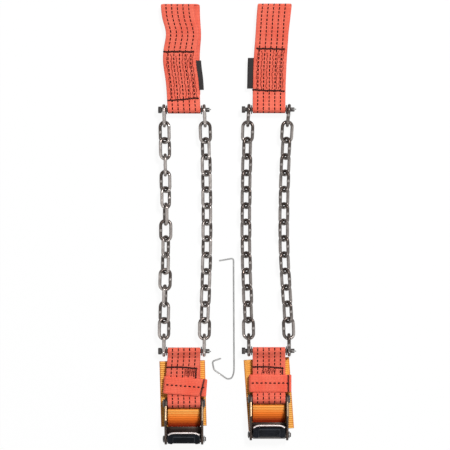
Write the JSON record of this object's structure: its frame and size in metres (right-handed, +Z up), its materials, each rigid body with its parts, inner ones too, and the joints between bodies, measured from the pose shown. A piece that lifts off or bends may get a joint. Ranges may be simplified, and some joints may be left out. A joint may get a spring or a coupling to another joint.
{
  "type": "tyre chain bracelet",
  "caption": "Strap-on anti-skid tyre bracelets: twin chains between clevis pins, red webbing straps and a cam buckle on a yellow pad, with a wire threading hook.",
  "frame": {"origin": "middle of the first bracelet's pad, on its underside", "axes": "+Y along the bracelet from the buckle to the anchor strap, +Z up off the floor, +X to the right seen from above"},
  "size_m": [0.1605, 0.5121, 0.0254],
  "materials": {
    "red_webbing": "woven polyester with black tracers",
    "yellow_webbing": "ribbed woven polyester",
    "chain_steel": "dull hardened steel",
    "wire_steel": "drawn wire",
    "zinc_steel": "zinc plated",
    "black_steel": "black with a bright worn lip",
    "black_plastic": "satin"
  },
  "bodies": {
    "lower": {"lower_strap": "red_webbing", "pad": "yellow_webbing", "lower_pin": "zinc_steel", "lower_cotter": "zinc_steel", "lower_washer_left": "zinc_steel", "lower_washer_right": "zinc_steel"},
    "row_01": {"chain_link_left_01": "chain_steel", "chain_link_right_01": "chain_steel"},
    "row_02": {"chain_link_left_02": "chain_steel", "chain_link_right_02": "chain_steel"},
    "row_03": {"chain_link_left_03": "chain_steel", "chain_link_right_03": "chain_steel"},
    "row_04": {"chain_link_left_04": "chain_steel", "chain_link_right_04": "chain_steel"},
    "row_05": {"chain_link_left_05": "chain_steel", "chain_link_right_05": "chain_steel"},
    "row_06": {"chain_link_left_06": "chain_steel", "chain_link_right_06": "chain_steel"},
    "row_07": {"chain_link_left_07": "chain_steel", "chain_link_right_07": "chain_steel"},
    "row_08": {"chain_link_left_08": "chain_steel", "chain_link_right_08": "chain_steel"},
    "row_09": {"chain_link_left_09": "chain_steel", "chain_link_right_09": "chain_steel"},
    "row_10": {"chain_link_left_10": "chain_steel", "chain_link_right_10": "chain_steel"},
    "row_11": {"chain_link_left_11": "chain_steel", "chain_link_right_11": "chain_steel"},
    "row_12": {"chain_link_left_12": "chain_steel", "chain_link_right_12": "chain_steel"},
    "row_13": {"chain_link_left_13": "chain_steel", "chain_link_right_13": "chain_steel"},
    "row_14": {"chain_link_left_14": "chain_steel", "chain_link_right_14": "chain_steel"},
    "row_15": {"chain_link_left_15": "chain_steel", "chain_link_right_15": "chain_steel"},
    "anchor": {"anchor_strap": "red_webbing", "upper_pin": "zinc_steel", "upper_cotter": "zinc_steel", "upper_washer_left": "zinc_steel", "upper_washer_right": "zinc_steel"},
    "keeper": {"keeper": "red_webbing"},
    "buckle": {"buckle_frame": "zinc_steel", "strap_bar": "zinc_steel", "cam_pin": "zinc_steel", "cam_pin_clip": "zinc_steel", "cam_spring": "wire_steel"},
    "lever": {"cam_lever": "black_steel", "lever_cover": "black_plastic"},
    "hook": {"threading_hook": "wire_steel"},
    "second_lower": {"second_lower_strap": "red_webbing", "second_pad": "yellow_webbing", "second_lower_pin": "zinc_steel", "second_keeper": "red_webbing"},
    "second_chains": {"second_chain_left": "chain_steel", "second_chain_right": "chain_steel", "second_upper_pin": "zinc_steel"},
    "second_anchor": {"second_anchor_strap": "red_webbing"},
    "second_buckle": {"second_buckle_frame": "zinc_steel"},
    "second_lever": {"second_cam_lever": "black_steel"}
  },
  "joints": [
    {"name": "chain_lift", "type": "hinge", "parent": "lower", "child": "row_01", "pos_m": [0, 0.0509, 0.0083], "axis": [1, 0, 0], "range_deg": [0, 75]},
    {"name": "turn_row_02", "type": "hinge", "parent": "row_01", "child": "row_02", "pos_m": [0, 0.0674, 0.0083], "axis": [-1, 0, 0], "range_deg": [-20, 20]},
    {"name": "turn_row_03", "type": "hinge", "parent": "row_02", "child": "row_03", "pos_m": [0, 0.0864, 0.00767], "axis": [1, 0, 0], "range_deg": [-20, 20]},
    {"name": "turn_row_04", "type": "hinge", "parent": "row_03", "child": "row_04", "pos_m": [0, 0.1054, 0.0071], "axis": [-1, 0, 0], "range_deg": [-20, 20]},
    {"name": "turn_row_05", "type": "hinge", "parent": "row_04", "child": "row_05", "pos_m": [0, 0.1244, 0.00664], "axis": [1, 0, 0], "range_deg": [-20, 20]},
    {"name": "turn_row_06", "type": "hinge", "parent": "row_05", "child": "row_06", "pos_m": [0, 0.1434, 0.00647], "axis": [-1, 0, 0], "range_deg": [-20, 20]},
    {"name": "turn_row_07", "type": "hinge", "parent": "row_06", "child": "row_07", "pos_m": [0, 0.1624, 0.00647], "axis": [1, 0, 0], "range_deg": [-20, 20]},
    {"name": "turn_row_08", "type": "hinge", "parent": "row_07", "child": "row_08", "pos_m": [0, 0.1814, 0.00647], "axis": [-1, 0, 0], "range_deg": [-20, 20]},
    {"name": "turn_row_09", "type": "hinge", "parent": "row_08", "child": "row_09", "pos_m": [0, 0.2004, 0.00647], "axis": [1, 0, 0], "range_deg": [-20, 20]},
    {"name": "turn_row_10", "type": "hinge", "parent": "row_09", "child": "row_10", "pos_m": [0, 0.2194, 0.00647], "axis": [-1, 0, 0], "range_deg": [-20, 20]},
    {"name": "turn_row_11", "type": "hinge", "parent": "row_10", "child": "row_11", "pos_m": [0, 0.2384, 0.00647], "axis": [1, 0, 0], "range_deg": [-20, 20]},
    {"name": "turn_row_12", "type": "hinge", "parent": "row_11", "child": "row_12", "pos_m": [0, 0.2574, 0.00664], "axis": [-1, 0, 0], "range_deg": [-20, 20]},
    {"name": "turn_row_13", "type": "hinge", "parent": "row_12", "child": "row_13", "pos_m": [0, 0.2764, 0.0071], "axis": [1, 0, 0], "range_deg": [-20, 20]},
    {"name": "turn_row_14", "type": "hinge", "parent": "row_13", "child": "row_14", "pos_m": [0, 0.2954, 0.00767], "axis": [-1, 0, 0], "range_deg": [-20, 20]},
    {"name": "turn_row_15", "type": "hinge", "parent": "row_14", "child": "row_15", "pos_m": [0, 0.3144, 0.0083], "axis": [1, 0, 0], "range_deg": [-20, 20]},
    {"name": "anchor_strap_swing", "type": "hinge", "parent": "row_15", "child": "anchor", "pos_m": [0, 0.3309, 0.0083], "axis": [1, 0, 0], "range_deg": [0, 90]},
    {"name": "buckle_swing", "type": "hinge", "parent": "lower", "child": "buckle", "pos_m": [0, -0.005, 0.0083], "axis": [-1, 0, 0], "range_deg": [0, 90]},
    {"name": "cam_lever_lift", "type": "hinge", "parent": "buckle", "child": "lever", "pos_m": [0, -0.0465, 0.009], "axis": [1, 0, 0], "range_deg": [0, 50], "stiffness_Nm_per_rad": 0.06, "springref_deg": -34.38},
    {"name": "keeper_slide", "type": "slide", "parent": "lower", "child": "keeper", "axis": [0, 1, 0], "range_m": [0, 0.012]},
    {"name": "hook_lift", "type": "slide", "parent": "lower", "child": "hook", "axis": [0, 0, 1], "range_m": [0, 0.05]},
    {"name": "second_lift", "type": "slide", "parent": "lower", "child": "second_lower", "axis": [0, 0, 1], "range_m": [0, 0.05]},
    {"name": "second_chain_swing", "type": "hinge", "parent": "second_lower", "child": "second_chains", "pos_m": [-0.0986, 0.0505, 0.0083], "axis": [1, 0, 0], "range_deg": [0, 75]},
    {"name": "second_strap_swing", "type": "hinge", "parent": "second_chains", "child": "second_anchor", "pos_m": [-0.0986, 0.3305, 0.0083], "axis": [1, 0, 0], "range_deg": [0, 90]},
    {"name": "second_buckle_swing", "type": "hinge", "parent": "second_lower", "child": "second_buckle", "pos_m": [-0.0986, -0.0099, 0.0083], "axis": [-1, 0, 0], "range_deg": [0, 90]},
    {"name": "second_lever_lift", "type": "hinge", "parent": "second_buckle", "child": "second_lever", "pos_m": [-0.0986, -0.0514, 0.009], "axis": [1, 0, 0], "range_deg": [-13, 37], "stiffness_Nm_per_rad": 0.06, "springref_deg": -34.38}
  ]
}
